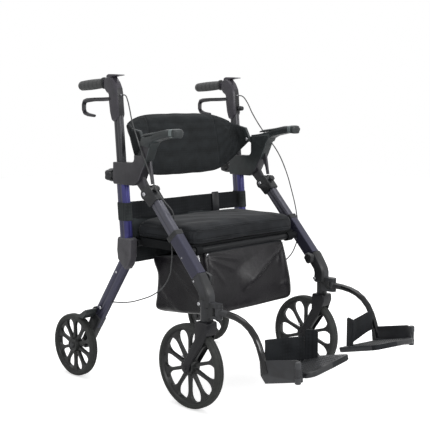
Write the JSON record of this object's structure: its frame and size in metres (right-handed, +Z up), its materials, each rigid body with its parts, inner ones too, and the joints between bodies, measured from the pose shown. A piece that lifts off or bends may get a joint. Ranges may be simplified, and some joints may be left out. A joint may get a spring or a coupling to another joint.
{
  "type": "rollator with footrests",
  "caption": "Folding wheeled walker with seat, padded back band, armrests, loop brakes, storage bag and swing-away footrests, so that it also serves as a transport chair.",
  "frame": {"origin": "on the floor under the middle of the bounding box", "axes": "+Z up, -Y towards the footrests and the way the seated person faces, +X towards that person's left"},
  "size_m": [0.645, 1.0276, 0.9655],
  "materials": {
    "armrest_plastic": "dark grey green moulded plastic",
    "bag_nylon": "black coated nylon, slightly glossy",
    "black_plastic": "black moulded plastic, fine grain",
    "black_steel": "black powder coat",
    "cable_sheath": "black cable sheath",
    "fabric": "black woven polyester, padded or flat",
    "frame_paint": "dark violet grey metallic paint, satin",
    "grip_rubber": "black soft rubber, matt",
    "tyre": "dark grey solid tyre, matt",
    "wheel_plastic": "dark grey moulded plastic"
  },
  "bodies": {
    "rear_frame": {"upright_tube_left": "frame_paint", "upright_tube_right": "frame_paint", "knee_sleeve_left": "black_plastic", "knee_sleeve_right": "black_plastic", "rear_leg_left": "frame_paint", "rear_leg_right": "frame_paint", "axle_bracket_left": "black_plastic", "axle_bracket_right": "black_plastic", "side_housing_left": "armrest_plastic", "side_housing_right": "armrest_plastic", "armrest_pad_left": "armrest_plastic", "armrest_pad_right": "armrest_plastic", "brake_cable_left": "cable_sheath", "brake_cable_right": "cable_sheath", "rear_rail": "black_steel", "back_strap": "fabric"},
    "front_frame": {"front_leg_left": "frame_paint", "front_leg_right": "frame_paint", "leg_joint_left": "black_plastic", "leg_joint_right": "black_plastic", "lower_leg_left": "black_plastic", "lower_leg_right": "black_plastic", "front_rail": "black_steel", "bag": "bag_nylon"},
    "seat": {"seat_board": "black_plastic", "seat_cushion": "fabric"},
    "back": {"back_pad": "fabric"},
    "head_knob": {"head_knob": "black_plastic"},
    "handle_left": {"inner_tube_left": "frame_paint", "handle_head_left": "black_plastic", "hand_grip_left": "grip_rubber"},
    "lever_left": {"brake_lever_left": "black_plastic"},
    "height_knob_left": {"height_knob_left": "black_plastic"},
    "lock_knob_left": {"lock_knob_left": "black_plastic"},
    "clamp_knob_left": {"clamp_knob_left": "black_plastic"},
    "brake_shoe_left": {"brake_shoe_left": "black_plastic"},
    "rear_wheel_left": {"rear_rim_left": "wheel_plastic", "rear_tyre_left": "tyre"},
    "caster_left": {"fork_left": "black_plastic"},
    "front_wheel_left": {"front_rim_left": "wheel_plastic", "front_tyre_left": "tyre"},
    "footrest_left": {"footrest_arm_left": "black_plastic", "heel_strap_left": "fabric"},
    "footplate_left": {"footplate_left": "black_plastic"},
    "handle_right": {"inner_tube_right": "frame_paint", "handle_head_right": "black_plastic", "hand_grip_right": "grip_rubber"},
    "lever_right": {"brake_lever_right": "black_plastic"},
    "height_knob_right": {"height_knob_right": "black_plastic"},
    "lock_knob_right": {"lock_knob_right": "black_plastic"},
    "clamp_knob_right": {"clamp_knob_right": "black_plastic"},
    "brake_shoe_right": {"brake_shoe_right": "black_plastic"},
    "rear_wheel_right": {"rear_rim_right": "wheel_plastic", "rear_tyre_right": "tyre"},
    "caster_right": {"fork_right": "black_plastic"},
    "front_wheel_right": {"front_rim_right": "wheel_plastic", "front_tyre_right": "tyre"},
    "footrest_right": {"footrest_arm_right": "black_plastic", "heel_strap_right": "fabric"},
    "footplate_right": {"footplate_right": "black_plastic"}
  },
  "joints": [
    {"name": "frame_fold", "type": "hinge", "parent": "rear_frame", "child": "front_frame", "pos_m": [0, 0.1015, 0.6105], "axis": [1, 0, 0], "range_deg": [0, 22], "deforming": ["back_strap", "brake_cable_left", "brake_cable_right"]},
    {"name": "seat_lift", "type": "hinge", "parent": "front_frame", "child": "seat", "pos_m": [0, -0.051, 0.4515], "axis": [1, 0, 0], "range_deg": [0, 68]},
    {"name": "back_swing", "type": "hinge", "parent": "rear_frame", "child": "back", "pos_m": [0, 0.1505, 0.757], "axis": [1, 0, 0], "range_deg": [0, 75]},
    {"name": "head_knob_turn", "type": "hinge", "parent": "handle_left", "child": "head_knob", "pos_m": [0.261, 0.2207, 0.859], "axis": [0, 1, 0], "continuous": true},
    {"name": "handle_slide_left", "type": "slide", "parent": "rear_frame", "child": "handle_left", "axis": [0, 0.0821, 0.9966], "range_m": [-0.1, 0.05], "deforming": ["brake_cable_left"]},
    {"name": "brake_pull_left", "type": "hinge", "parent": "handle_left", "child": "lever_left", "pos_m": [0.257, 0.2605, 0.891], "axis": [1, 0, 0], "range_deg": [0, 10], "stiffness_Nm_per_rad": 1.5},
    {"name": "shoe_press_left", "type": "hinge", "parent": "rear_frame", "child": "brake_shoe_left", "pos_m": [0.257, 0.3555, 0.221], "axis": [1, 0, 0], "range_deg": [-2.2, 0]},
    {"name": "height_knob_turn_left", "type": "hinge", "parent": "rear_frame", "child": "height_knob_left", "pos_m": [0.257, 0.25, 0.658], "axis": [0, 1, 0], "continuous": true},
    {"name": "lock_knob_turn_left", "type": "hinge", "parent": "front_frame", "child": "lock_knob_left", "pos_m": [0.257, 0.07033, 0.624], "axis": [0, -0.7391, 0.6736], "continuous": true},
    {"name": "clamp_knob_turn_left", "type": "hinge", "parent": "front_frame", "child": "clamp_knob_left", "pos_m": [0.2427, -0.11972, 0.38386], "axis": [1, 0, 0], "continuous": true},
    {"name": "rear_wheel_roll_left", "type": "hinge", "parent": "rear_frame", "child": "rear_wheel_left", "pos_m": [0.3035, 0.4125, 0.1016], "axis": [1, 0, 0], "continuous": true},
    {"name": "caster_swivel_left", "type": "hinge", "parent": "front_frame", "child": "caster_left", "pos_m": [0.264, -0.1475, 0.268], "axis": [0, 0, 1], "continuous": true},
    {"name": "front_wheel_roll_left", "type": "hinge", "parent": "caster_left", "child": "front_wheel_left", "pos_m": [0.264, -0.0835, 0.1252], "axis": [1, 0, 0], "continuous": true},
    {"name": "footrest_swing_left", "type": "hinge", "parent": "front_frame", "child": "footrest_left", "pos_m": [0.26, -0.1935, 0.3015], "axis": [0, 0, 1], "range_deg": [0, 90]},
    {"name": "footplate_flip_left", "type": "hinge", "parent": "footrest_left", "child": "footplate_left", "pos_m": [0.24684, -0.36471, 0.15151], "axis": [0, 0.9703, -0.2419], "range_deg": [0, 75], "deforming": ["heel_strap_left"]},
    {"name": "handle_slide_right", "type": "slide", "parent": "rear_frame", "child": "handle_right", "axis": [0, 0.0821, 0.9966], "range_m": [-0.1, 0.05], "deforming": ["brake_cable_right"]},
    {"name": "brake_pull_right", "type": "hinge", "parent": "handle_right", "child": "lever_right", "pos_m": [-0.257, 0.2605, 0.891], "axis": [1, 0, 0], "range_deg": [0, 10], "stiffness_Nm_per_rad": 1.5},
    {"name": "shoe_press_right", "type": "hinge", "parent": "rear_frame", "child": "brake_shoe_right", "pos_m": [-0.257, 0.3555, 0.221], "axis": [1, 0, 0], "range_deg": [-2.2, 0]},
    {"name": "height_knob_turn_right", "type": "hinge", "parent": "rear_frame", "child": "height_knob_right", "pos_m": [-0.257, 0.25, 0.658], "axis": [0, 1, 0], "continuous": true},
    {"name": "lock_knob_turn_right", "type": "hinge", "parent": "front_frame", "child": "lock_knob_right", "pos_m": [-0.257, 0.07033, 0.624], "axis": [0, -0.7391, 0.6736], "continuous": true},
    {"name": "clamp_knob_turn_right", "type": "hinge", "parent": "front_frame", "child": "clamp_knob_right", "pos_m": [-0.2427, -0.11972, 0.38386], "axis": [1, 0, 0], "continuous": true},
    {"name": "rear_wheel_roll_right", "type": "hinge", "parent": "rear_frame", "child": "rear_wheel_right", "pos_m": [-0.3035, 0.4125, 0.1016], "axis": [1, 0, 0], "continuous": true},
    {"name": "caster_swivel_right", "type": "hinge", "parent": "front_frame", "child": "caster_right", "pos_m": [-0.264, -0.1475, 0.268], "axis": [0, 0, 1], "continuous": true},
    {"name": "front_wheel_roll_right", "type": "hinge", "parent": "caster_right", "child": "front_wheel_right", "pos_m": [-0.264, -0.0835, 0.1252], "axis": [1, 0, 0], "continuous": true},
    {"name": "footrest_swing_right", "type": "hinge", "parent": "front_frame", "child": "footrest_right", "pos_m": [-0.26, -0.1935, 0.3015], "axis": [0, 0, -1], "range_deg": [0, 90]},
    {"name": "footplate_flip_right", "type": "hinge", "parent": "footrest_right", "child": "footplate_right", "pos_m": [-0.24684, -0.36471, 0.15151], "axis": [0, -0.9703, 0.2419], "range_deg": [0, 75], "deforming": ["heel_strap_right"]}
  ],
  "couplings": [
    {"joint": "seat_lift", "follows": "frame_fold", "ratio": 3.09},
    {"joint": "shoe_press_left", "follows": "brake_pull_left", "ratio": -0.2},
    {"joint": "shoe_press_right", "follows": "brake_pull_right", "ratio": -0.2}
  ]
}
